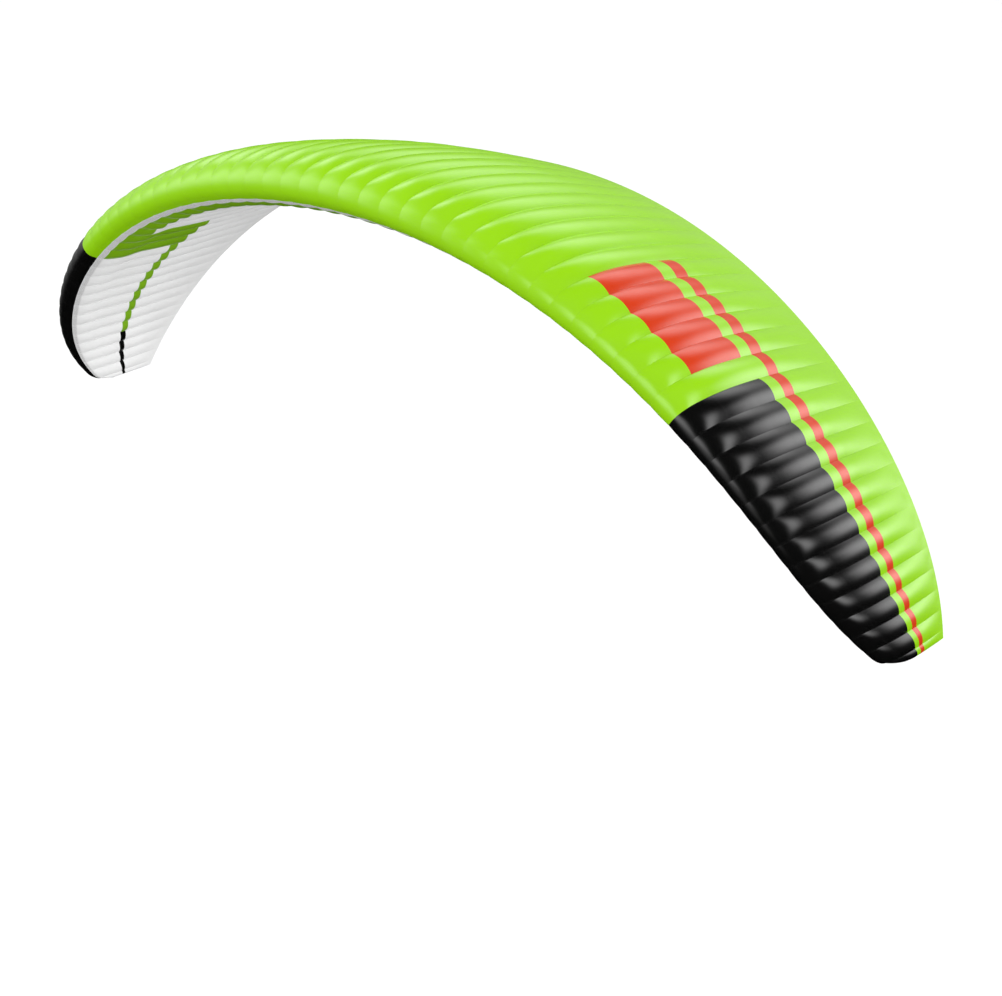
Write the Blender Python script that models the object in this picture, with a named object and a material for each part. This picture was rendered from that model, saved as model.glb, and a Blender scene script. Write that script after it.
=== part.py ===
"""Paraglider wing, inflated and flying: thin cloth panels sewn along the ribs.

Metres, +Z up.  X runs along the span, -Y points forward (leading edge), and the wing is
symmetric about X = 0.  The origin is the middle of the underside, where the pull of the
suspension lines meets the wing.

A point of the skin is named by two numbers.  `arc` is the distance from the middle along the
arched span.  `w` runs round the section: -1 at the trailing edge on the upper side, 0 at the
nose, +1 at the trailing edge on the underside; |w| is the share of the chord.
"""

import math

import bmesh
import bpy
import numpy as np
from mathutils import Vector

# ---- driving sizes ---------------------------------------------------------------------------
HALF_ARC = 5.861         # from the middle to a tip, along the arch
CELLS_PER_SIDE = 31
WIDTH_TAPER = 0.33       # how much narrower the cells get towards the tip
LAST_CELL = 0.467        # width of the outermost cell against that taper
ROOT_CHORD = 2.75
# Each table below holds the factors of the powers of the span share (0 in the middle, 1 at a tip).
CHORD_LOSS = {2: 0.597, 4: -0.287, 6: 0.081, 8: 0.333}   # share of the root chord
NOSE_SWEEP = {2: 0.381, 4: 0.894, 6: -1.129, 8: 1.219}   # metres aft
ARCH_ROLL = {1: 54.65, 3: 31.6, 5: -31.2, 7: 12.9}       # degrees
TWIST = {0: -1.06, 2: 1.22, 4: -5.90}                    # degrees
THICKNESS_LOSS = {2: 0.118}                              # share of the root's thickness
LINE_PULL = 0.34         # share of the chord where the lines pull, on the underside
REFERENCE_CHORD = 0.25   # share of the chord that the twist turns about

THICKNESS = 0.148        # of the chord
CAMBER = 0.0176          # of the chord
CAMBER_AT = 0.35
FULLNESS = 0.85          # under 1 moves the thickest place forward
TIP_THICKNESS = 0.66     # share of the section's thickness left at the tip seam
EDGE_HALF = 0.00165      # half of the thickness at the trailing edge
# The nose corner of a tip is rounded: the front of the section is set back there.
TIP_SET_BACK = 0.19      # at the nose of the tip
TIP_ROUND_SPAN = 0.154   # it starts this far from the tip
TIP_ROUND_REACH = 0.40   # share of the chord over which it dies out

CLOTH = 0.0015           # thickness of a sheet
SEAM_GAP = 0.0003        # between two sheets
UPPER_BULGE = 0.10       # rise of a cell over its seams, as a share of its width
LOWER_BULGE = 0.07
BULGE_FADES_FROM = 0.60  # share of the chord from where the bulge dies out to the trailing edge
LOWER_FILL = 0.045       # extra depth behind the intakes in the middle of the wing, none at the tips
FILL_RISES = (0.02, 0.115)  # shares of the chord between which it builds up and dies out
FILL_FALLS = (0.13, 0.26)

# ---- where the panels meet -------------------------------------------------------------------
NOSE_SEAM = -0.12        # nose panel to upper skin
BLOCK_REAR = -0.40       # rear edge of the colour panels
STRIPE_FRONT = -0.47
STRIPE_REAR = -0.54
INTAKE_FRONT = 0.036     # nose panel to intake strip
INTAKE_REAR = 0.062
BAND_REAR = 0.145        # rear edge of the band behind the intakes
UNDER_STRIPE_FRONT = 0.43
UNDER_STRIPE_REAR = 0.48
# A sheet has a line of points at each of these that it reaches.
ROWS = [-1.0, STRIPE_REAR, STRIPE_FRONT, BLOCK_REAR, -0.24, NOSE_SEAM, -0.05, -0.014, 0.0,
        INTAKE_FRONT, INTAKE_REAR, BAND_REAR, UNDER_STRIPE_FRONT, UNDER_STRIPE_REAR, 1.0]

BAR_RIBS = (11, 16)      # colour bar on the upper side
DARK_RIB = 17            # the dark leading edge starts here
UNDER_BLOCK_RIBS = (14, 17)
UNDER_CHANGE_RIB = 26    # the underside stripe changes colour here
TIP_RIB = CELLS_PER_SIDE

LIME = (0.36, 0.78, 0.012)
ORANGE = (0.80, 0.09, 0.02)
BLACK = (0.012, 0.012, 0.013)
WHITE = (0.80, 0.80, 0.80)
GREY = (0.48, 0.48, 0.48)


# ---- the wing's shape ------------------------------------------------------------------------
def powers(table, share):
    return sum(value * share ** power for power, value in table.items())


def rib_arcs():
    """Distance of each rib from the middle, 0 to the tip."""
    widths = [1 - WIDTH_TAPER * (i / (CELLS_PER_SIDE - 1)) ** 2 for i in range(CELLS_PER_SIDE)]
    widths[-1] *= LAST_CELL
    places = np.concatenate([[0], np.cumsum(widths)])
    return places / places[-1] * HALF_ARC


def arch_line(steps=600):
    """Arc, x, z and roll along the arch, from the middle to a little past the tip."""
    arc = np.linspace(0, HALF_ARC * 1.02, steps)
    roll = np.radians(powers(ARCH_ROLL, arc / HALF_ARC))
    step = arc[1] - arc[0]
    run = np.concatenate([[0], np.cumsum((np.cos(roll[1:]) + np.cos(roll[:-1])) / 2 * step)])
    drop = np.concatenate([[0], np.cumsum((np.sin(roll[1:]) + np.sin(roll[:-1])) / 2 * step)])
    return arc, run, -drop, roll


RIBS = rib_arcs()
ARCH = arch_line()


def arc_at(rib):
    """Signed arc of a rib number; a half number is the middle of a cell."""
    return math.copysign(np.interp(abs(rib), range(CELLS_PER_SIDE + 1), RIBS), rib)


def section_height(w, chord, thinning):
    """Height of the section over its chord line, as a share of the chord."""
    share = abs(w)
    x = share ** FULLNESS
    half = THICKNESS / 0.2 * (0.2969 * math.sqrt(x) - 0.126 * x - 0.3516 * x ** 2
                              + 0.2843 * x ** 3 - 0.1036 * x ** 4)
    if x < CAMBER_AT:
        camber = CAMBER / CAMBER_AT ** 2 * (2 * CAMBER_AT * x - x * x)
    else:
        camber = CAMBER / (1 - CAMBER_AT) ** 2 * (1 - 2 * CAMBER_AT + 2 * CAMBER_AT * x - x * x)
    half = half * thinning + EDGE_HALF / chord * min(1, share / 0.05)
    return camber + math.copysign(half, -w) if w else camber


def smooth_skin(arc, w):
    """A point of the skin with no bulge."""
    span, side = abs(arc), math.copysign(1, arc)
    share = span / HALF_ARC
    x, z, roll = (np.interp(span, ARCH[0], ARCH[i]) for i in (1, 2, 3))
    chord = ROOT_CHORD * (1 - powers(CHORD_LOSS, share))
    twist = math.radians(powers(TWIST, share))
    last_cell = min(1.0, max(0.0, (span - RIBS[-2]) / (RIBS[-1] - RIBS[-2])))
    closing = 1 - (1 - TIP_THICKNESS) * last_cell ** 2
    thinning = closing * (1 - powers(THICKNESS_LOSS, share))
    up = Vector((side * math.sin(roll), 0, math.cos(roll)))
    aft = Vector((0, 1, 0))
    chordwise = aft * math.cos(twist) - up * math.sin(twist)
    normal = up * math.cos(twist) + aft * math.sin(twist)
    middle = Vector((side * x, powers(NOSE_SWEEP, share), z))
    pivot = REFERENCE_CHORD * chord
    near_tip = max(0.0, 1 - (HALF_ARC - span) / TIP_ROUND_SPAN)
    set_back = TIP_SET_BACK * near_tip ** 3 * max(0.0, 1 - abs(w) / TIP_ROUND_REACH)
    return (middle + aft * pivot + chordwise * (abs(w) * chord + set_back - pivot)
            + normal * section_height(w, chord, thinning) * chord)


def outward(arc, w, step=1e-3):
    """The skin's outward normal, smooth across the seams."""
    low, high = max(-1, w - step), min(1, w + step)
    along = smooth_skin(arc + step, w) - smooth_skin(arc - step, w)
    around = smooth_skin(arc, high) - smooth_skin(arc, low)
    return around.cross(along).normalized()


def smooth_step(low, high, value):
    t = min(1, max(0, (value - low) / (high - low)))
    return t * t * (3 - 2 * t)


def lower_fill(span, w):
    """Extra depth of the section behind the intakes."""
    most = LOWER_FILL * (1 - (span / HALF_ARC) ** 2)
    return most * smooth_step(*FILL_RISES, w) * (1 - smooth_step(*FILL_FALLS, w))


def bulge(arc, w):
    """Rise of an inflated cell over the smooth skin."""
    span = min(abs(arc), HALF_ARC - 1e-9)
    cell = int(np.searchsorted(RIBS, span, side="right")) - 1
    width = RIBS[cell + 1] - RIBS[cell]
    across = (span - RIBS[cell]) / width
    fade = min(1, (1 - abs(w)) / (1 - BULGE_FADES_FROM))
    most = UPPER_BULGE + (LOWER_BULGE - UPPER_BULGE) * min(1, max(0, w) / INTAKE_REAR)
    return width * most * fade * 4 * across * (1 - across) + lower_fill(span, w)


ORIGIN = smooth_skin(0, LINE_PULL)


def skin(arc, w, depth=0.0):
    """A point of the inflated skin, `depth` inside its outer face."""
    return smooth_skin(arc, w) + outward(arc, w) * (bulge(arc, w) - depth) - ORIGIN


# ---- sheets ----------------------------------------------------------------------------------
def columns(first_rib, last_rib):
    """Rib numbers, with the middle of each cell between them."""
    return [half / 2 for half in range(2 * first_rib, 2 * last_rib + 1)]


def rows(front, rear, unused=()):
    low, high = sorted((front, rear))
    return [w for w in ROWS if low <= w <= high and w not in unused]


def nudge_along(w, direction, arc):
    """w moved by half of a seam gap, measured on the skin and square to the seam."""
    if direction == 0 or abs(w) == 1:
        return w
    step = 1e-4
    around = (smooth_skin(arc, w + step * direction) - smooth_skin(arc, w)) / step
    seam = (smooth_skin(arc + step, w) - smooth_skin(arc - step, w)).normalized()
    reach = (around - seam * around.dot(seam)).length
    return w + direction * SEAM_GAP / 2 / reach


def add_material(obj, name, colour):
    material = bpy.data.materials.get(name) or bpy.data.materials.new(name)
    material.use_nodes = True
    shader = material.node_tree.nodes["Principled BSDF"]
    shader.inputs["Base Color"].default_value = (*colour, 1)
    shader.inputs["Roughness"].default_value = 0.45
    shader.inputs["Metallic"].default_value = 0
    obj.data.materials.append(material)


def add_object(name, work, cloth):
    mesh = bpy.data.meshes.new(name)
    work.to_mesh(mesh)
    work.free()
    obj = bpy.data.objects.new(name, mesh)
    bpy.context.scene.collection.objects.link(obj)
    add_material(obj, *cloth)
    return obj


def ridge_first(ring):
    """The ring turned so that its first diagonal falls from the middle of a cell to its seam."""
    crown = max(ring, key=lambda corner: (corner[0] % 1, -abs(corner[1])))
    start = ring.index(crown)
    return ring[start:] + ring[:start]


def sheet(name, patches, cloth, unused=()):
    """One sheet over patches (first rib, last rib, front w, rear w) that share whole edges."""
    quads = set()
    for first, last, front, rear in patches:
        spans, heights = columns(first, last), rows(front, rear, unused)
        quads |= {(a, b, c, d) for a, b in zip(spans, spans[1:])
                  for c, d in zip(heights, heights[1:])}
    work = bmesh.new()
    corners = {}
    for a, b, c, d in quads:
        for rib, w in ((a, c), (b, c), (b, d), (a, d)):
            pull = corners.setdefault((rib, w), [0, 0])
            pull[0] += 1 if rib == a else -1
            pull[1] += 1 if w == c else -1
    points = {}
    for (rib, w), pull in corners.items():
        arc = arc_at(rib)
        # An edge point is pulled inwards by half of the gap, so that neighbours stay apart.
        arc_in = arc + (pull[0] > 0) * SEAM_GAP / 2 - (pull[0] < 0) * SEAM_GAP / 2
        w_in = nudge_along(w, (pull[1] > 0) - (pull[1] < 0), arc)
        points[rib, w] = [work.verts.new(skin(arc_in, w_in, depth)) for depth in (0, CLOTH)]
    edges = set()
    for a, b, c, d in quads:
        ring = ridge_first([(a, c), (b, c), (b, d), (a, d)])
        for triangle in (ring[:3], [ring[0], *ring[2:]]):
            work.faces.new([points[corner][0] for corner in triangle])
            work.faces.new([points[corner][1] for corner in reversed(triangle)])
        edges |= set(zip(ring, ring[1:] + ring[:1]))
    for start, end in edges:
        if (end, start) not in edges:
            work.faces.new([points[start][1], points[end][1], points[end][0], points[start][0]])
    bmesh.ops.recalc_face_normals(work, faces=work.faces)
    return add_object(name, work, cloth)


def tip_panel(name, side, cloth):
    """The flat panel that closes a tip, outside the ends of the skins."""
    work = bmesh.new()
    layers = []
    for out in (SEAM_GAP, SEAM_GAP + CLOTH):
        arc = side * (HALF_ARC + out)
        layers.append([work.verts.new(smooth_skin(arc, w) - ORIGIN) for w in ROWS])
    work.faces.new(layers[0])
    work.faces.new(layers[1][::-1])
    for i in range(len(ROWS)):
        j = (i + 1) % len(ROWS)
        work.faces.new([layers[0][j], layers[0][i], layers[1][i], layers[1][j]])
    bmesh.ops.recalc_face_normals(work, faces=work.faces)
    return add_object(name, work, cloth)


def mirrored(side, patches):
    """Patches given for the +X half, or the same on the other half."""
    if side > 0:
        return patches
    return [(-last, -first, front, rear) for first, last, front, rear in patches]


# ---- the parts -------------------------------------------------------------------------------
def build_middle():
    lime, white, grey = ("lime_cloth", LIME), ("white_cloth", WHITE), ("grey_mesh", GREY)
    bar_in, block_in = BAR_RIBS[0], UNDER_BLOCK_RIBS[0]
    sheet("upper_skin_centre", [(-bar_in, bar_in, NOSE_SEAM, -1.0)], lime,
          unused=(BLOCK_REAR, STRIPE_FRONT))
    sheet("nose_panel_centre", [(-DARK_RIB, DARK_RIB, NOSE_SEAM, INTAKE_FRONT)], lime)
    sheet("intake_strip", [(-TIP_RIB, TIP_RIB, INTAKE_FRONT, INTAKE_REAR)], grey)
    sheet("under_band", [(-DARK_RIB, DARK_RIB, INTAKE_REAR, BAND_REAR)], lime)
    sheet("lower_skin_centre", [(-block_in, block_in, BAND_REAR, 1.0)], white,
          unused=(UNDER_STRIPE_FRONT,))


def build_side(side):
    end = "left" if side > 0 else "right"
    lime, orange, black = ("lime_cloth", LIME), ("orange_cloth", ORANGE), ("black_cloth", BLACK)
    white = ("white_cloth", WHITE)
    bar_in, bar_out = BAR_RIBS
    block_in, block_out = UNDER_BLOCK_RIBS
    pieces = {
        "nose_panel": (black, [(DARK_RIB, TIP_RIB, NOSE_SEAM, INTAKE_FRONT)]),
        "dark_panel": (black, [(DARK_RIB, TIP_RIB, NOSE_SEAM, BLOCK_REAR)]),
        "colour_bar": (orange, [(bar_in, bar_out, NOSE_SEAM, BLOCK_REAR)]),
        "colour_stripe": (orange, [(bar_in, TIP_RIB, STRIPE_FRONT, STRIPE_REAR)]),
        "upper_skin_front": (lime, [(bar_out, DARK_RIB, NOSE_SEAM, BLOCK_REAR),
                                    (bar_in, TIP_RIB, BLOCK_REAR, STRIPE_FRONT)]),
        "upper_skin_rear": (lime, [(bar_in, TIP_RIB, STRIPE_REAR, -1.0)]),
        "under_block": (lime, [(block_in, block_out, BAND_REAR, UNDER_STRIPE_FRONT)]),
        "under_stripe_inner": (lime, [(block_in, UNDER_CHANGE_RIB, UNDER_STRIPE_FRONT,
                                       UNDER_STRIPE_REAR)]),
        "under_stripe_outer": (black, [(UNDER_CHANGE_RIB, TIP_RIB, UNDER_STRIPE_FRONT,
                                        UNDER_STRIPE_REAR)]),
        "lower_skin_front": (white, [(DARK_RIB, TIP_RIB, INTAKE_REAR, BAND_REAR),
                                     (block_out, TIP_RIB, BAND_REAR, UNDER_STRIPE_FRONT)]),
        "lower_skin_rear": (white, [(block_in, TIP_RIB, UNDER_STRIPE_REAR, 1.0)]),
    }
    for name, (cloth, patches) in pieces.items():
        sheet(f"{name}_{end}", mirrored(side, patches), cloth)
    tip_panel(f"tip_panel_{end}", side, white)


def main():
    for obj in list(bpy.data.objects):
        bpy.data.objects.remove(obj)
    build_middle()
    for side in (1, -1):
        build_side(side)


main()
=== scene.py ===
"""Looks of the paraglider wing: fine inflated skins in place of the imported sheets, and its cloth,
light and camera.

Metres, +Z up, X along the span, -Y forward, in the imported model's frame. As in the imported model, a point
of the skin is named by `arc`, the distance from the middle along the arched span, and `w`, which runs
from -1 at the trailing edge on the upper side over 0 at the nose to +1 at the trailing edge below.
"""

import math

import bmesh
import bpy
import numpy as np
from mathutils import Matrix, Vector


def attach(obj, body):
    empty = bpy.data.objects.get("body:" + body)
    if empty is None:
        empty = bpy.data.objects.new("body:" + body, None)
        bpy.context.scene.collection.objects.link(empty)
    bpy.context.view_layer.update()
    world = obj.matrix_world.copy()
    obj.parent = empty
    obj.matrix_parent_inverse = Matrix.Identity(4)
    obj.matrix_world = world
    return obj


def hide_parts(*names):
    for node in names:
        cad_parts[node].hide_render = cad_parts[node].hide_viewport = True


# ---- the wing's driving sizes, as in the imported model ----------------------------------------
HALF_ARC = 5.861         # from the middle to a tip, along the arch
CELLS_PER_SIDE = 31
WIDTH_TAPER = 0.33       # how much narrower the cells get towards the tip
LAST_CELL = 0.467        # width of the outermost cell against that taper
ROOT_CHORD = 2.75
# Each table holds the factors of the powers of the span share (0 in the middle, 1 at a tip).
CHORD_LOSS = {2: 0.597, 4: -0.287, 6: 0.081, 8: 0.333}
NOSE_SWEEP = {2: 0.381, 4: 0.894, 6: -1.129, 8: 1.219}   # metres aft
ARCH_ROLL = {1: 54.65, 3: 31.6, 5: -31.2, 7: 12.9}       # degrees
TWIST = {0: -1.06, 2: 1.22, 4: -5.90}                    # degrees
THICKNESS_LOSS = {2: 0.118}
LINE_PULL = 0.34         # share of the chord where the lines pull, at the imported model's origin
REFERENCE_CHORD = 0.25   # share of the chord that the twist turns about
THICKNESS = 0.148        # of the chord
CAMBER = 0.0176          # of the chord
CAMBER_AT = 0.35
FULLNESS = 0.85          # under 1 moves the thickest place forward
TIP_THICKNESS = 0.66     # share of the section's thickness left at the tip seam
EDGE_HALF = 0.00165      # half of the thickness at the trailing edge
EDGE_REACH = 0.05        # share of the chord over which EDGE_HALF grows in from the nose
# Half thickness of a section a fifth as thick as its chord: factors of the root of x, x, x ** 2, x ** 3
# and x ** 4.
SECTION_CURVE, CURVE_THICKNESS = (0.2969, -0.126, -0.3516, 0.2843, -0.1036), 0.2
TIP_SET_BACK = 0.19
TIP_ROUND_SPAN = 0.154   # the nose corner's round starts this far from the tip
TIP_ROUND_REACH = 0.40   # share of the chord over which it dies out
CLOTH = 0.0015           # thickness of a sheet
ARCH_STEPS, PAST_TIP = 600, 1.02
GIRTH_STEPS = 4001

# w of the places where panels meet, then the numbers of the ribs where they meet
NOSE_SEAM = -0.12
BLOCK_REAR = -0.40
STRIPE_FRONT = -0.47
STRIPE_REAR = -0.54
INTAKE_FRONT = 0.036
INTAKE_REAR = 0.062
BAND_REAR = 0.145
UNDER_STRIPE_FRONT = 0.43
UNDER_STRIPE_REAR = 0.48
BREAKS = [-1.0, STRIPE_REAR, STRIPE_FRONT, BLOCK_REAR, NOSE_SEAM, 0.0, INTAKE_FRONT, INTAKE_REAR,
          BAND_REAR, UNDER_STRIPE_FRONT, UNDER_STRIPE_REAR, 1.0]
BAR_RIBS = (11, 16)
DARK_RIB = 17
UNDER_BLOCK_RIBS = (14, 17)
UNDER_CHANGE_RIB = 26
TIP_RIB = CELLS_PER_SIDE

# ---- the inflated cells ----------------------------------------------------------------------
UPPER_BULGE = 0.14       # rise over the seams, as a share of the cell's width
LOWER_BULGE = 0.13
NOSE_BULGE = 0.12        # share of that rise at the nose, where rods keep the cloth smooth
NOSE_LIFT = 0.11         # rise of the whole nose, as a share of the cell's width
FULL_ABOVE = 0.16        # share of the chord where the cells are full on the upper side
FULL_BELOW = (0.035, 0.13)  # shares of the chord between which they fill out on the lower side
BULGE_FADES_FROM = 0.60  # share of the chord from where it dies out to the trailing edge
LOWER_FILL = 0.045       # metres of extra depth behind the intakes in the middle, none at the tips
FILL_RISES = (0.02, 0.115)  # shares of the chord between which it builds up
FILL_FALLS = (0.13, 0.26)   # and between which it dies out again
SMALL_RIB = (0.90, 0.99)  # shares of the chord between which a small rib comes to halve each cell
SMALL_BULGE = 0.008      # rise of the halves, as a share of the cell's width
SMALL_BULGE_FADES = (1, 0.97)  # they are flat at the first and full at the second share
ACROSS = 12              # faces across a cell
NOSE_REACH = 0.4         # metres round the nose with the finest rows
NOSE_STEP, SKIN_STEP = 0.022, 0.05
FAR_FROM_SEAM = 0.05     # metres, for cloth with no seam of its own


# ---- the wing's shape ------------------------------------------------------------------------
def powers(table, share):
    return sum(value * share ** power for power, value in table.items())


def rib_arcs():
    """Distance of each rib from the middle, 0 to the tip."""
    widths = [1 - WIDTH_TAPER * (i / (CELLS_PER_SIDE - 1)) ** 2 for i in range(CELLS_PER_SIDE)]
    widths[-1] *= LAST_CELL
    places = np.concatenate([[0], np.cumsum(widths)])
    return places / places[-1] * HALF_ARC


def arch_line():
    """Arc, x, z and roll along the arch, from the middle to a little past the tip."""
    arc = np.linspace(0, HALF_ARC * PAST_TIP, ARCH_STEPS)
    roll = np.radians(powers(ARCH_ROLL, arc / HALF_ARC))
    step = arc[1] - arc[0]
    run = np.concatenate([[0], np.cumsum((np.cos(roll[1:]) + np.cos(roll[:-1])) / 2 * step)])
    drop = np.concatenate([[0], np.cumsum((np.sin(roll[1:]) + np.sin(roll[:-1])) / 2 * step)])
    return arc, run, -drop, roll


RIBS = rib_arcs()
ARCH = arch_line()


def arc_at(rib):
    """Signed arc of rib numbers; a broken number lies inside a cell."""
    return np.sign(rib) * np.interp(np.abs(rib), np.arange(CELLS_PER_SIDE + 1), RIBS)


def section_height(w, chord, thinning):
    """Height of the section over its chord line, as a share of the chord."""
    share = np.abs(w)
    x = share ** FULLNESS
    terms = (np.sqrt(x), x, x ** 2, x ** 3, x ** 4)
    half = THICKNESS / CURVE_THICKNESS * sum(factor * term for factor, term in zip(SECTION_CURVE, terms))
    rise = CAMBER / CAMBER_AT ** 2 * (2 * CAMBER_AT * x - x * x)
    fall = CAMBER / (1 - CAMBER_AT) ** 2 * (1 - 2 * CAMBER_AT + 2 * CAMBER_AT * x - x * x)
    half = half * thinning + EDGE_HALF / chord * np.minimum(1, share / EDGE_REACH)
    return np.where(x < CAMBER_AT, rise, fall) - np.sign(w) * half


def smooth_skin(arc, w):
    """Points of the skin with no bulge, for arrays of arc and w of one shape."""
    span, side = np.abs(arc), np.where(arc < 0, -1.0, 1.0)
    share = span / HALF_ARC
    x, z, roll = (np.interp(span, ARCH[0], ARCH[i]) for i in (1, 2, 3))
    chord = ROOT_CHORD * (1 - powers(CHORD_LOSS, share))
    twist = np.radians(powers(TWIST, share))
    last_cell = np.clip((span - RIBS[-2]) / (RIBS[-1] - RIBS[-2]), 0, 1)
    closing = 1 - (1 - TIP_THICKNESS) * last_cell ** 2
    thinning = closing * (1 - powers(THICKNESS_LOSS, share))
    up = np.stack([side * np.sin(roll), 0 * roll, np.cos(roll)], -1)
    aft = np.array([0.0, 1.0, 0.0])
    cos, sin = np.cos(twist)[..., None], np.sin(twist)[..., None]
    chordwise, normal = aft * cos - up * sin, up * cos + aft * sin
    middle = np.stack([side * x, powers(NOSE_SWEEP, share), z], -1)
    pivot = REFERENCE_CHORD * chord
    height = section_height(w, chord, thinning) * chord
    near_tip = np.maximum(0, 1 - (HALF_ARC - span) / TIP_ROUND_SPAN)
    set_back = TIP_SET_BACK * near_tip ** 3 * np.maximum(0, 1 - np.abs(w) / TIP_ROUND_REACH)
    behind = np.abs(w) * chord + set_back - pivot
    return (middle + aft * pivot[..., None] + chordwise * behind[..., None]
            + normal * height[..., None])


def outward(arc, w, step=1e-3):
    """The skin's outward normal, smooth across the seams."""
    low, high = np.maximum(-1, w - step), np.minimum(1, w + step)
    along = smooth_skin(arc + step, w) - smooth_skin(arc - step, w)
    around = smooth_skin(arc, high) - smooth_skin(arc, low)
    normal = np.cross(around, along)
    return normal / np.linalg.norm(normal, axis=-1, keepdims=True)


def smooth_step(low, high, value):
    t = np.clip((value - low) / (high - low), 0, 1)
    return t * t * (3 - 2 * t)


def lower_fill(arc, w):
    """Extra depth of the section behind the intakes."""
    most = LOWER_FILL * (1 - (arc / HALF_ARC) ** 2)
    return most * smooth_step(*FILL_RISES, w) * (1 - smooth_step(*FILL_FALLS, w))


def bulge(width, across, w):
    """Rise of an inflated cell over its seams; `across` runs from 0 to 1 between them."""
    share = np.abs(w)
    full = np.where(w < 0, 1 - np.clip(1 + w / FULL_ABOVE, 0, 1) ** 3, smooth_step(*FULL_BELOW, w))
    fade = np.minimum(1, (1 - share) / (1 - BULGE_FADES_FROM)) * (NOSE_BULGE + (1 - NOSE_BULGE) * full)
    most = UPPER_BULGE + (LOWER_BULGE - UPPER_BULGE) * smooth_step(0, INTAKE_REAR, w)
    small = smooth_step(*SMALL_RIB, share)
    half = across * 2 % 1
    crown = most * fade * 4 * across * (1 - across)
    crowns = SMALL_BULGE * 4 * half * (1 - half) * smooth_step(*SMALL_BULGE_FADES, share)
    lift = NOSE_LIFT * (1 - full)
    return width * (lift + crown * (1 - small) + crowns * small)


ORIGIN = smooth_skin(np.array(0.0), np.array(LINE_PULL))


# ---- the whole skin as one grid --------------------------------------------------------------
def row_places():
    """w of every row, with a row at each place where panels meet, and its distance from the nose."""
    way = np.linspace(-1, 1, GIRTH_STEPS)
    fine = np.sign(way) * way ** 2
    points = smooth_skin(0 * fine, fine)
    girth = np.concatenate([[0], np.cumsum(np.linalg.norm(np.diff(points, axis=0), axis=1))])
    girth -= np.interp(0, fine, girth)
    reaches = []
    for start, end in zip(np.interp(BREAKS, fine, girth), np.interp(BREAKS[1:], fine, girth)):
        step = NOSE_STEP if min(abs(start), abs(end)) < NOSE_REACH else SKIN_STEP
        count = math.ceil((end - start) / step)
        reaches += list(np.linspace(start, end, count, endpoint=False))
    reaches = np.array(reaches + [girth[-1]])
    return np.interp(reaches, girth, fine), reaches


ROWS, ROW_REACH = row_places()


class Skin:
    """The inflated skin as a grid of columns along the span and rows round the section."""

    def __init__(self):
        first = np.arange(-TIP_RIB, TIP_RIB)[:, None, None]
        across = np.linspace(0, 1, ACROSS + 1)[None, :, None]
        width = arc_at(first + 1) - arc_at(first)
        arc = arc_at(first) + across * width + 0 * ROWS
        w = ROWS + 0 * arc
        out = outward(arc, w)
        rise = bulge(width, across, w) + lower_fill(arc, w)
        points = smooth_skin(arc, w) + out * rise[..., None] - ORIGIN
        # Each cell has its own normals, so that the seams stay creased.
        around = np.gradient(points, ROW_REACH, axis=2, edge_order=2)
        along = np.gradient(points, axis=1, edge_order=2)
        normals = np.cross(around, along)
        self.normals = normals / np.linalg.norm(normals, axis=-1, keepdims=True)
        self.points, self.out = self.in_columns(points), self.in_columns(out)
        self.arc = self.in_columns(arc)
        self.from_rib = self.in_columns(np.minimum(across, 1 - across) * width + 0 * w)
        self.reach = ROW_REACH * (1 - powers(CHORD_LOSS, np.abs(self.arc) / HALF_ARC))

    @staticmethod
    def in_columns(cells):
        """Cells joined side by side: the last column of each is the first of the next."""
        inner = cells[:, :-1].reshape(-1, *cells.shape[2:])
        return np.concatenate([inner, cells[-1:, -1]])


def row_of(w):
    return int(np.argmin(np.abs(ROWS - w)))


def quads_of(patches):
    """True for each quad of the grid that lies in one of the patches."""
    mask = np.zeros((2 * TIP_RIB * ACROSS, len(ROWS) - 1), bool)
    for first, last, front, rear in patches:
        low, high = sorted((row_of(front), row_of(rear)))
        mask[(first + TIP_RIB) * ACROSS:(last + TIP_RIB) * ACROSS, low:high] = True
    return mask


# Corners of a quad as steps of (column, row), so that its face looks outwards.
RING = ((0, 0), (0, 1), (1, 1), (1, 0))


def rim_edges(mask):
    """Start and end (column, row) of each edge of a quad with no neighbour in the mask."""
    wide = np.pad(mask, 1)
    column, row = np.nonzero(mask)
    starts, ends = [], []
    for k, (dc, dr) in enumerate(((-1, 0), (0, 1), (1, 0), (0, -1))):
        open_side = ~wide[column + 1 + dc, row + 1 + dr]
        for places, corner in ((starts, RING[k]), (ends, RING[(k + 1) % 4])):
            places.append(np.stack([column + corner[0], row + corner[1]], -1)[open_side])
    return np.concatenate(starts), np.concatenate(ends)


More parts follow.
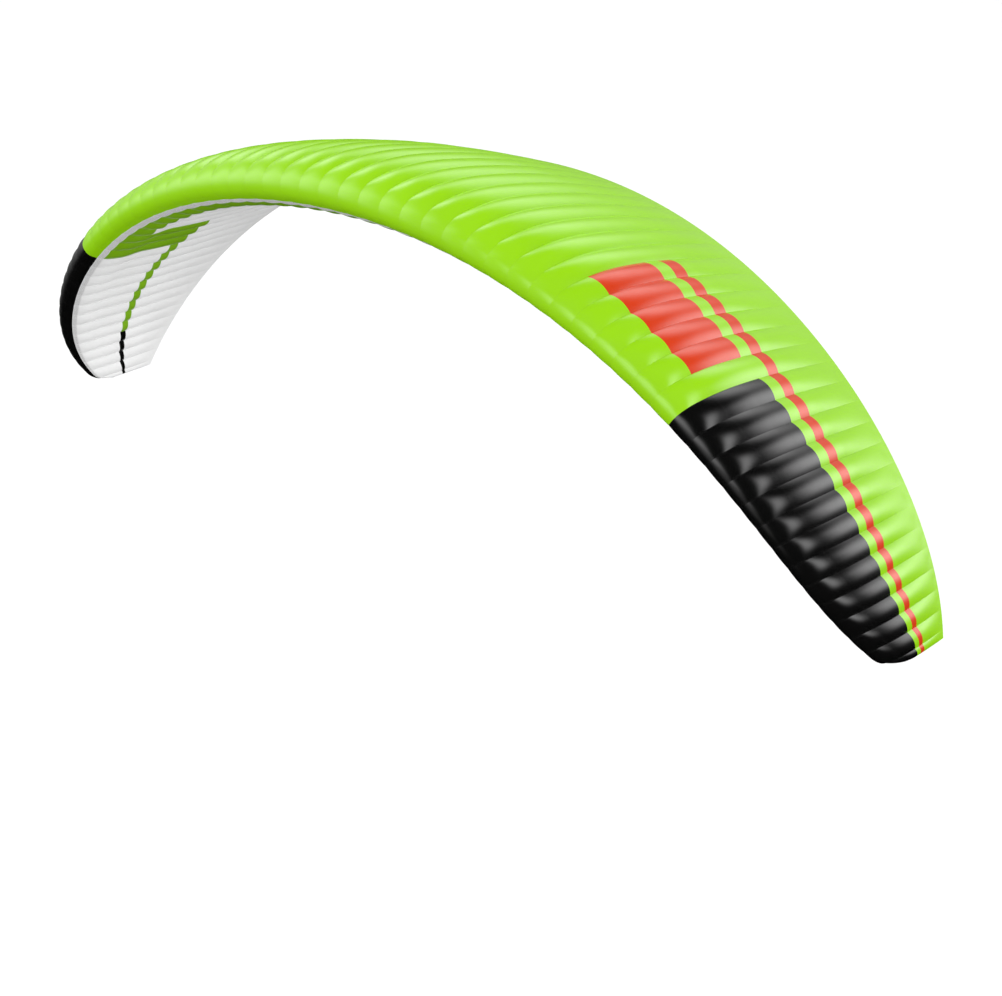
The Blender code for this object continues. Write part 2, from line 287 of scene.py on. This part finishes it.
def sheet(skin, node, patches, cloth):
    """A closed sheet over patches (first rib, last rib, front w, rear w), in place of a node."""
    mask = quads_of(patches)
    column, row = np.nonzero(mask)
    count = len(ROWS)
    outer = np.stack([(column + dc) * count + row + dr for dc, dr in RING], -1)
    start, end = (place[:, 0] * count + place[:, 1] for place in rim_edges(mask))
    used, outer = np.unique(outer, return_inverse=True)
    outer = outer.reshape(-1, 4)
    start, end = np.searchsorted(used, start), np.searchsorted(used, end)
    skin_points = skin.points.reshape(-1, 3)[used]
    points = np.concatenate([skin_points, skin_points - CLOTH * skin.out.reshape(-1, 3)[used]])
    deep = len(used)
    rim = np.stack([end, start, start + deep, end + deep], -1)
    faces = np.concatenate([outer, outer[:, ::-1] + deep, rim])
    cell, place = column // ACROSS, column % ACROSS
    normals = np.stack([skin.normals[cell, place + dc, row + dr] for dc, dr in RING], 1)
    rim_normals = np.cross(points[rim[:, 2]] - points[rim[:, 0]], points[rim[:, 3]] - points[rim[:, 1]])
    rim_normals /= np.linalg.norm(rim_normals, axis=-1, keepdims=True)
    loop_normals = np.concatenate([normals.reshape(-1, 3), -normals[:, ::-1].reshape(-1, 3),
                                   np.repeat(rim_normals, 4, axis=0)])

    mesh = bpy.data.meshes.new(node + "_cloth")
    mesh.from_pydata(points, [], faces.tolist())
    mesh.shade_smooth()
    mesh.normals_split_custom_set(loop_normals)
    corner = faces.reshape(-1) % deep
    places = np.stack([skin.arc.reshape(-1)[used], skin.reach.reshape(-1)[used]], -1)
    mesh.uv_layers.new(name="cloth").uv.foreach_set("vector", places[corner].reshape(-1))
    front, rear = mask.argmax(axis=1), mask.shape[1] - mask[:, ::-1].argmax(axis=1)
    from_edge = np.minimum(*(np.abs(skin.reach[column, ends[column]][:, None]
                                    - np.stack([skin.reach[column, row + dr] for _, dr in RING], -1))
                             for ends in (front, rear)))
    from_edge = np.concatenate([from_edge.reshape(-1), from_edge[:, ::-1].reshape(-1),
                                np.zeros(4 * len(rim))])
    seams = np.stack([skin.from_rib.reshape(-1)[used][corner], from_edge], -1)
    mesh.uv_layers.new(name="seams").uv.foreach_set("vector", seams.reshape(-1))
    obj = add_piece(mesh, cloth, node)


def sided(name, side):
    return f"{name}_{'left' if side > 0 else 'right'}"


def add_piece(mesh, cloth, node):
    mesh.materials.append(MATERIALS[cloth])
    obj = bpy.data.objects.new(mesh.name, mesh)
    bpy.context.scene.collection.objects.link(obj)
    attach(obj, "root")
    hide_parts(node)
    return obj


def tip_panel(skin, side):
    """The flat panel that closes a tip."""
    end = 0 if side < 0 else -1
    edge = skin.points[end]
    out = np.array([side * math.cos(ARCH[3][-1]), 0, -math.sin(ARCH[3][-1])])
    points = np.concatenate([edge, edge + out * CLOTH])
    count = len(edge)
    ring = np.arange(count)
    following = (ring + 1) % count
    sides = np.stack([ring, following, following + count, ring + count], -1)
    caps = [[k, k + 1, count - 2 - k, count - 1 - k] for k in range((count - 1) // 2)]
    faces = [tuple(dict.fromkeys(face)) for face in caps]
    lids = [tuple(i + count for i in reversed(face)) for face in faces]
    node = sided("tip_panel", side)
    mesh = bpy.data.meshes.new(node + "_cloth")
    mesh.from_pydata(points, [], faces + lids + sides.tolist())
    work = bmesh.new()
    work.from_mesh(mesh)
    bmesh.ops.recalc_face_normals(work, faces=work.faces)
    layers = [work.loops.layers.uv.new(name) for name in ("cloth", "seams")]
    for face in work.faces:
        for loop in face.loops:
            loop[layers[0]].uv, loop[layers[1]].uv = loop.vert.co.yz, (FAR_FROM_SEAM, FAR_FROM_SEAM)
    work.to_mesh(mesh)
    work.free()
    obj = add_piece(mesh, "white_cloth", node)


# ---- the pieces ------------------------------------------------------------------------------
def build_middle(skin):
    bar_in, block_in = BAR_RIBS[0], UNDER_BLOCK_RIBS[0]
    sheet(skin, "upper_skin_centre", [(-bar_in, bar_in, NOSE_SEAM, -1.0)], "lime_cloth")
    sheet(skin, "nose_panel_centre", [(-DARK_RIB, DARK_RIB, NOSE_SEAM, INTAKE_FRONT)], "lime_cloth")
    sheet(skin, "intake_strip", [(-TIP_RIB, TIP_RIB, INTAKE_FRONT, INTAKE_REAR)], "grey_mesh")
    sheet(skin, "under_band", [(-DARK_RIB, DARK_RIB, INTAKE_REAR, BAND_REAR)], "shaded_lime_cloth")
    sheet(skin, "lower_skin_centre", [(-block_in, block_in, BAND_REAR, 1.0)], "white_cloth")


def build_side(skin, side):
    bar_in, bar_out = BAR_RIBS
    block_in, block_out = UNDER_BLOCK_RIBS
    pieces = {
        "nose_panel": ("black_cloth", [(DARK_RIB, TIP_RIB, NOSE_SEAM, INTAKE_FRONT)]),
        "dark_panel": ("black_cloth", [(DARK_RIB, TIP_RIB, NOSE_SEAM, BLOCK_REAR)]),
        "colour_bar": ("orange_cloth", [(bar_in, bar_out, NOSE_SEAM, BLOCK_REAR)]),
        "colour_stripe": ("orange_cloth", [(bar_in, TIP_RIB, STRIPE_FRONT, STRIPE_REAR)]),
        "upper_skin_front": ("lime_cloth", [(bar_out, DARK_RIB, NOSE_SEAM, BLOCK_REAR),
                                            (bar_in, TIP_RIB, BLOCK_REAR, STRIPE_FRONT)]),
        "upper_skin_rear": ("lime_cloth", [(bar_in, TIP_RIB, STRIPE_REAR, -1.0)]),
        "under_block": ("shaded_lime_cloth", [(block_in, block_out, BAND_REAR, UNDER_STRIPE_FRONT)]),
        "under_stripe_inner": ("shaded_lime_cloth", [(block_in, UNDER_CHANGE_RIB, UNDER_STRIPE_FRONT,
                                                    UNDER_STRIPE_REAR)]),
        "under_stripe_outer": ("black_cloth", [(UNDER_CHANGE_RIB, TIP_RIB, UNDER_STRIPE_FRONT,
                                                UNDER_STRIPE_REAR)]),
        "lower_skin_front": ("white_cloth", [(DARK_RIB, TIP_RIB, INTAKE_REAR, BAND_REAR),
                                             (block_out, TIP_RIB, BAND_REAR, UNDER_STRIPE_FRONT)]),
        "lower_skin_rear": ("white_cloth", [(block_in, TIP_RIB, UNDER_STRIPE_REAR, 1.0)]),
    }
    for name, (cloth, patches) in pieces.items():
        if side < 0:
            patches = [(-last, -first, front, rear) for first, last, front, rear in patches]
        sheet(skin, sided(name, side), patches, cloth)
    tip_panel(skin, side)


# ---- cloth -----------------------------------------------------------------------------------
class Nodes:
    """Shorthand for the nodes of one material."""

    def __init__(self, name):
        self.material = bpy.data.materials.new(name + "_look")
        self.material.use_nodes = True
        self.tree = self.material.node_tree
        self.shader = self.tree.nodes["Principled BSDF"]

    def put(self, socket, value):
        if isinstance(value, bpy.types.NodeSocket):
            self.tree.links.new(value, socket)
        else:
            socket.default_value = value

    def math(self, operation, *values):
        node = self.tree.nodes.new("ShaderNodeMath")
        node.operation = operation
        for socket, value in zip(node.inputs, values):
            self.put(socket, value)
        return node.outputs[0]

    def step(self, value, low, high, start=0.0, end=1.0):
        """A smooth step from `start` below `low` to `end` above `high`."""
        node = self.tree.nodes.new("ShaderNodeMapRange")
        node.interpolation_type = "SMOOTHSTEP"
        for name, number in (("Value", value), ("From Min", low), ("From Max", high),
                             ("To Min", start), ("To Max", end)):
            self.put(node.inputs[name], number)
        return node.outputs[0]

    def uv(self, name):
        node = self.tree.nodes.new("ShaderNodeUVMap")
        split = self.tree.nodes.new("ShaderNodeSeparateXYZ")
        node.uv_map = name
        self.tree.links.new(node.outputs[0], split.inputs[0])
        return split.outputs["X"], split.outputs["Y"]

    def noise(self, x, y, across, along, detail=2.0):
        """Noise from 0 to 1 with grains of about `across` by `along` metres."""
        join = self.tree.nodes.new("ShaderNodeCombineXYZ")
        node = self.tree.nodes.new("ShaderNodeTexNoise")
        self.put(join.inputs["X"], self.math("DIVIDE", x, across))
        self.put(join.inputs["Y"], self.math("DIVIDE", y, along))
        self.tree.links.new(join.outputs[0], node.inputs["Vector"])
        node.inputs["Scale"].default_value, node.inputs["Detail"].default_value = 1.0, detail
        return node.outputs[0]

    def lines(self, value, pitch, half):
        """1 on lines of the given pitch and half width, 0 between them."""
        return self.step(self.math("PINGPONG", value, pitch / 2),
                         half * (1 - LINE_SOFTNESS), half * (1 + LINE_SOFTNESS), 1.0, 0.0)

    def mix(self, factor, low, high):
        """The colour `low` where the factor is 0 and `high` where it is 1."""
        node = self.tree.nodes.new("ShaderNodeMix")
        node.data_type = "RGBA"
        for name, value in (("Factor", factor), ("A", low), ("B", high)):
            self.put(node.inputs[name], value)
        return node.outputs["Result"]

    def tint(self, colour, share):
        """The colour times a share."""
        node = self.tree.nodes.new("ShaderNodeVectorMath")
        node.operation = "SCALE"
        node.inputs[0].default_value = colour
        self.put(node.inputs["Scale"], share)
        return node.outputs[0]

    def bump(self, height):
        node = self.tree.nodes.new("ShaderNodeBump")
        node.inputs["Distance"].default_value = 1.0
        self.put(node.inputs["Height"], height)
        self.put(self.shader.inputs["Normal"], node.outputs[0])


def plain_material(name, colour, roughness):
    look = Nodes(name)
    look.shader.inputs["Base Color"].default_value = (*colour, 1)
    look.shader.inputs["Roughness"].default_value = roughness
    return look.material


# Pitches, half widths and rises in metres. Each SHADE is how much darker the place is.
LINE_SOFTNESS = 0.4      # share of a line's half width over which its edge blurs, to either side
RIPSTOP_PITCH, RIPSTOP_HALF, RIPSTOP_RISE, RIPSTOP_SHADE = 0.005, 0.00035, 0.00002, 0.05
THREAD_PITCH, THREAD_RISE = 0.0005, 0.000004
PUCKER_WIDTH, PUCKER_LENGTH, PUCKER_REACH, PUCKER_RISE = 0.06, 0.04, 0.04, 0.00004
# The grooves along the seams are darkened as painted shade.
SEAM_GROOVE, PAINTED_GROOVE_SHADE = (0.0005, 0.003), 0.04
ALLOWANCE, ALLOWANCE_BLUR, ALLOWANCE_RISE, ALLOWANCE_SHADE = 0.011, 0.002, 0.00004, 0.02
STITCH_AT, STITCH_HALF, STITCH_PITCH, STITCH_GAP = 0.006, 0.0006, 0.0045, 0.0007
STITCH_RISE, STITCH_SOFTNESS = 0.00003, 0.3
NOISE_BAND = (0.3, 0.7)  # noise below and above this band counts as none and all
PATCH_SIZE, PATCH_DETAIL, PATCH_RANGE = 0.5, 3.0, (0.985, 1.015)  # the colour varies in soft patches
GLOSS_PATCH_SIZE, ROUGHNESS_SPREAD = 0.12, 0.02
SHEEN_ROUGHNESS = 0.5


def cloth_material(name, colour, thread, sheen=0.55, roughness=0.2):
    """Coated ripstop: a 5 mm grid of thicker threads, seams with stitches and a little pucker, and painted
    shade in the groove along each seam.
    """
    look = Nodes(name)
    arc, reach = look.uv("cloth")
    rib, edge = look.uv("seams")
    math_, step = look.math, look.step

    grid = math_("MAXIMUM", look.lines(arc, RIPSTOP_PITCH, RIPSTOP_HALF),
                 look.lines(reach, RIPSTOP_PITCH, RIPSTOP_HALF))
    turn = 2 * math.pi / THREAD_PITCH
    weave = math_("MULTIPLY", math_("SINE", math_("MULTIPLY", arc, turn)),
                  math_("SINE", math_("MULTIPLY", reach, turn)))
    nearest = math_("MINIMUM", rib, edge)
    pucker = math_("MULTIPLY", look.noise(rib, reach, PUCKER_WIDTH, PUCKER_LENGTH),
                   step(rib, 0.0, PUCKER_REACH, 1.0, 0.0))
    near, far = STITCH_HALF * (1 - STITCH_SOFTNESS), STITCH_HALF * (1 + STITCH_SOFTNESS)
    stitch = [math_("MULTIPLY",
                    step(math_("ABSOLUTE", math_("SUBTRACT", away, STITCH_AT)), near, far, 1.0, 0.0),
                    math_("SUBTRACT", 1.0, look.lines(along, STITCH_PITCH, STITCH_GAP)))
              for away, along in ((rib, reach), (edge, arc))]
    stitch = math_("MAXIMUM", *stitch)
    doubled = step(nearest, ALLOWANCE - ALLOWANCE_BLUR, ALLOWANCE + ALLOWANCE_BLUR, 1.0, 0.0)

    patchy = look.noise(arc, reach, PATCH_SIZE, PATCH_SIZE, PATCH_DETAIL)
    tone_and_groove_shade = math_("ADD", step(patchy, *NOISE_BAND, *PATCH_RANGE),
                  math_("MULTIPLY", grid, -RIPSTOP_SHADE))
    tone_and_groove_shade = math_("SUBTRACT", tone_and_groove_shade, math_("MULTIPLY", doubled, ALLOWANCE_SHADE))
    # painted shade: darker in the groove along each seam
    tone_and_groove_shade = math_("MULTIPLY", tone_and_groove_shade, step(nearest, *SEAM_GROOVE, 1.0 - PAINTED_GROOVE_SHADE, 1.0))
    look.put(look.shader.inputs["Base Color"], look.mix(stitch, look.tint(colour, tone_and_groove_shade), (*thread, 1)))
    look.put(look.shader.inputs["Roughness"],
             step(look.noise(arc, reach, GLOSS_PATCH_SIZE, GLOSS_PATCH_SIZE), *NOISE_BAND,
                  roughness - ROUGHNESS_SPREAD, roughness + ROUGHNESS_SPREAD))

    look.shader.inputs["Sheen Weight"].default_value = sheen
    look.shader.inputs["Sheen Roughness"].default_value = SHEEN_ROUGHNESS
    look.shader.inputs["Sheen Tint"].default_value = (*colour, 1)
    height = math_("ADD", math_("MULTIPLY", grid, RIPSTOP_RISE), math_("MULTIPLY", weave, THREAD_RISE))
    height = math_("ADD", height, math_("MULTIPLY", pucker, PUCKER_RISE))
    height = math_("ADD", height, math_("MULTIPLY", stitch, STITCH_RISE))
    height = math_("ADD", height, math_("MULTIPLY", doubled, ALLOWANCE_RISE))
    look.bump(height)
    return look.material


MESH_PITCH, MESH_THREAD, MESH_RISE, MESH_ROUGHNESS = 0.004, 0.0009, 0.0004, 0.6
MESH_HEM = (0.005, 0.006)


def mesh_material(name, colour, inside_shade):
    """Knitted mesh: a lattice of threads over painted shade that stands for the wing's dark inside."""
    look = Nodes(name)
    arc, reach = look.uv("cloth")
    rib, edge = look.uv("seams")
    slants = [look.math("MULTIPLY", look.math(way, arc, reach), math.sqrt(0.5))
              for way in ("ADD", "SUBTRACT")]
    threads = look.math("MAXIMUM", *(look.lines(slant, MESH_PITCH, MESH_THREAD) for slant in slants))
    hem = look.step(look.math("MINIMUM", rib, edge), *MESH_HEM, 1.0, 0.0)
    cover = look.math("MAXIMUM", threads, hem)
    look.put(look.shader.inputs["Base Color"], look.mix(cover, (*inside_shade, 1), (*colour, 1)))
    look.shader.inputs["Roughness"].default_value = MESH_ROUGHNESS
    look.bump(look.math("MULTIPLY", cover, MESH_RISE))
    return look.material


# ---- camera, light and floor -----------------------------------------------------------------
CAMERA_AIM = (0.5643, 0.9017, -2.7114)
CAMERA_AZIMUTH, CAMERA_ELEVATION, CAMERA_ROLL = 38.118, 20.347, 4.083
CAMERA_DISTANCE = 14.463
CAMERA_LENS, CAMERA_SENSOR = 57.19, 36   # mm

# Soft boxes, seen only as gloss: azimuth, elevation, half width and half height in degrees, and
# brightness beside white.
SOFT_BOXES = {
    "back_right": (149, 15, 15, 15, 3.2),
    "right": (101, 24, 12, 20, 4.0),
    "back_left": (-118, 40, 10, 14, 2.1),
    "back": (-165, 41, 22, 12, 2.0),
    "wide_left": (-98, 20, 23, 31, 0.56),
    "left": (-56, 20, 20, 27, 2.8),
    "front": (2, 3, 17, 18, 3.2),
    "low_front": (4, -22, 15, 16, 0.6),
    "wide_back": (-178, 8, 33, 21, 0.45),
}
EDGE_POWER = 3           # how sharply a soft box ends
DOME_CENTRE, DOME_RADIUS, DOME_STEPS = (0.0, 0.5, -1.2), 60.0, 72
# Brightness of the studio's white walls: factors of the powers of the height, -1 straight down to 1
# straight up.
WALLS = {0: 1.485, 1: 0.545, 2: -0.94}
WALL_STOPS, WALLS_BRIGHTEST = 13, 1.58
FLOOR_HEIGHT, FLOOR_RADIUS, FLOOR_SIDES, FLOOR_GREY = -20.0, 1500.0, 64, 0.80


def heading(azimuth, elevation):
    """Direction from the wing; azimuth 0 is ahead of the wing and 90 off its left tip."""
    azimuth, elevation = math.radians(azimuth), math.radians(elevation)
    return Vector((math.sin(azimuth) * math.cos(elevation), -math.cos(azimuth) * math.cos(elevation),
                   math.sin(elevation)))


def add_facing(name, data, aim, away, distance, roll=0.0):
    """An object that looks at `aim` from a distance."""
    right = Vector((0, 0, 1)).cross(away).normalized()
    turn = Matrix((right, away.cross(right), away)).transposed() @ Matrix.Rotation(roll, 3, "Z")
    obj = bpy.data.objects.new(name, data)
    obj.matrix_world = Matrix.Translation(Vector(aim) + away * distance) @ turn.to_4x4()
    bpy.context.scene.collection.objects.link(obj)
    return obj


def add_camera():
    data = bpy.data.cameras.new("camera")
    data.lens, data.sensor_width, data.clip_end = CAMERA_LENS, CAMERA_SENSOR, 2 * FLOOR_RADIUS
    bpy.context.scene.camera = add_facing(
        "camera", data, CAMERA_AIM, heading(CAMERA_AZIMUTH, CAMERA_ELEVATION), CAMERA_DISTANCE,
        math.radians(CAMERA_ROLL))


def add_soft_boxes():
    """A dome with soft bright patches, which only the cloth's gloss sees."""
    turn, rise = np.meshgrid(np.linspace(0, 2 * math.pi, 2 * DOME_STEPS, endpoint=False),
                             np.linspace(-math.pi / 2, math.pi / 2, DOME_STEPS + 1), indexing="ij")
    way = np.stack([np.sin(turn) * np.cos(rise), -np.cos(turn) * np.cos(rise), np.sin(rise)], -1)
    light = np.zeros(turn.shape)
    for azimuth, elevation, width, height, brightness in SOFT_BOXES.values():
        away = heading(azimuth, elevation)
        right = Vector((0, 0, 1)).cross(away).normalized()
        off = (np.degrees(np.arcsin(np.clip(way @ np.array(axis), -1, 1))) / size
               for axis, size in ((right, width), (away.cross(right), height)))
        patch = np.exp(-sum(np.abs(o) ** EDGE_POWER for o in off))
        light += brightness * patch * (way @ np.array(away) > 0)
    ring, step = np.meshgrid(np.arange(2 * DOME_STEPS), np.arange(DOME_STEPS), indexing="ij")
    following, count = (ring + 1) % (2 * DOME_STEPS), DOME_STEPS + 1
    quads = np.stack([ring * count + step, following * count + step, following * count + step + 1,
                      ring * count + step + 1], -1).reshape(-1, 4)
    mesh = bpy.data.meshes.new("soft_boxes")
    mesh.from_pydata(DOME_CENTRE + DOME_RADIUS * way.reshape(-1, 3), [], quads.tolist())
    colours = mesh.attributes.new("brightness", "FLOAT_COLOR", "POINT")
    colours.data.foreach_set("color", np.repeat(light.reshape(-1, 1), 4, axis=1).reshape(-1))
    material = bpy.data.materials.new("soft_boxes_look")
    material.use_nodes = True
    nodes, links = material.node_tree.nodes, material.node_tree.links
    nodes.clear()
    read, glow = nodes.new("ShaderNodeAttribute"), nodes.new("ShaderNodeEmission")
    read.attribute_name = "brightness"
    links.new(read.outputs["Color"], glow.inputs["Color"])
    links.new(glow.outputs[0], nodes.new("ShaderNodeOutputMaterial").inputs["Surface"])
    material.cycles.emission_sampling = "NONE"
    mesh.materials.append(material)
    dome = bpy.data.objects.new("soft_boxes", mesh)
    dome.visible_camera = dome.visible_diffuse = dome.visible_shadow = False
    bpy.context.scene.collection.objects.link(dome)


def add_world():
    """White walls that light the cloth evenly; the gloss comes from the soft boxes alone."""
    world = bpy.data.worlds.new("studio")
    bpy.context.scene.world = world
    world.use_nodes = True
    nodes, links = world.node_tree.nodes, world.node_tree.links
    place = nodes.new("ShaderNodeTexCoord")
    split = nodes.new("ShaderNodeSeparateXYZ")
    height = nodes.new("ShaderNodeMapRange")
    height.inputs["From Min"].default_value = -1
    ramp = nodes.new("ShaderNodeValToRGB")
    links.new(place.outputs["Generated"], split.inputs[0])
    links.new(split.outputs["Z"], height.inputs["Value"])
    links.new(height.outputs[0], ramp.inputs[0])
    links.new(ramp.outputs[0], nodes["Background"].inputs["Color"])
    stops = ramp.color_ramp.elements
    for k, share in enumerate(np.linspace(0, 1, WALL_STOPS)):
        stop = stops[k] if k < 2 else stops.new(share)
        stop.position = share
        stop.color = (*[powers(WALLS, 2 * share - 1) / WALLS_BRIGHTEST] * 3, 1)
    nodes["Background"].inputs["Strength"].default_value = WALLS_BRIGHTEST
    world.cycles_visibility.glossy = False
    world.cycles.sampling_method = "NONE"
    bpy.context.scene.view_settings.view_transform = "Standard"


def add_floor():
    mesh = bpy.data.meshes.new("floor")
    ring = [(FLOOR_RADIUS * math.cos(t), FLOOR_RADIUS * math.sin(t), FLOOR_HEIGHT)
            for t in np.linspace(0, 2 * math.pi, FLOOR_SIDES, endpoint=False)]
    mesh.from_pydata(ring, [], [tuple(range(len(ring)))])
    mesh.materials.append(plain_material("floor", (FLOOR_GREY,) * 3, 1.0))
    floor = bpy.data.objects.new("floor", mesh)
    floor.visible_diffuse = floor.visible_glossy = floor.visible_shadow = False
    bpy.context.scene.collection.objects.link(floor)


def main():
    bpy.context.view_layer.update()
    skin = Skin()
    build_middle(skin)
    for side in (1, -1):
        build_side(skin, side)
    add_camera()
    add_soft_boxes()
    add_world()
    add_floor()


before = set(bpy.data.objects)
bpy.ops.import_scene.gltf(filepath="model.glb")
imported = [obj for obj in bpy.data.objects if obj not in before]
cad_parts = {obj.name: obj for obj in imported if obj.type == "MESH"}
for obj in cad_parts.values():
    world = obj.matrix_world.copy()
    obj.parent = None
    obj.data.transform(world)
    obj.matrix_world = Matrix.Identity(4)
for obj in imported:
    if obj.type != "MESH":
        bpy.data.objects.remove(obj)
# Each cloth with its thread, and the mesh with what shows through its holes.
LIME, LIME_THREAD = (0.262, 0.58, 0.003), (0.36, 0.70, 0.02)
# The underside's lime is the upper lime darkened as painted shade, where less light falls.
SHADED_LIME, SHADED_LIME_THREAD = (0.20, 0.44, 0.003), (0.21, 0.46, 0.005)
ORANGE, ORANGE_THREAD = (0.565, 0.036, 0.003), (0.64, 0.07, 0.01)
BLACK, BLACK_THREAD = (0.003,) * 3, (0.02,) * 3
WHITE, WHITE_THREAD = (0.90,) * 3, (0.92,) * 3
# What shows through the mesh's holes is painted shade, standing for the wing's dark inside.
MESH_GREY, MESH_INSIDE_SHADE = (0.75,) * 3, (0.42,) * 3
MATERIALS = {
    "lime_cloth": cloth_material("lime_cloth", LIME, LIME_THREAD),
    # the underside's lime, darkened as painted shade
    "shaded_lime_cloth": cloth_material("shaded_lime_cloth", SHADED_LIME, SHADED_LIME_THREAD, sheen=0.0,
                                      roughness=0.3),
    "orange_cloth": cloth_material("orange_cloth", ORANGE, ORANGE_THREAD),
    "black_cloth": cloth_material("black_cloth", BLACK, BLACK_THREAD, sheen=0.0),
    "white_cloth": cloth_material("white_cloth", WHITE, WHITE_THREAD),
    # its holes show painted shade for the wing's inside
    "grey_mesh": mesh_material("grey_mesh", MESH_GREY, MESH_INSIDE_SHADE),
}
main()
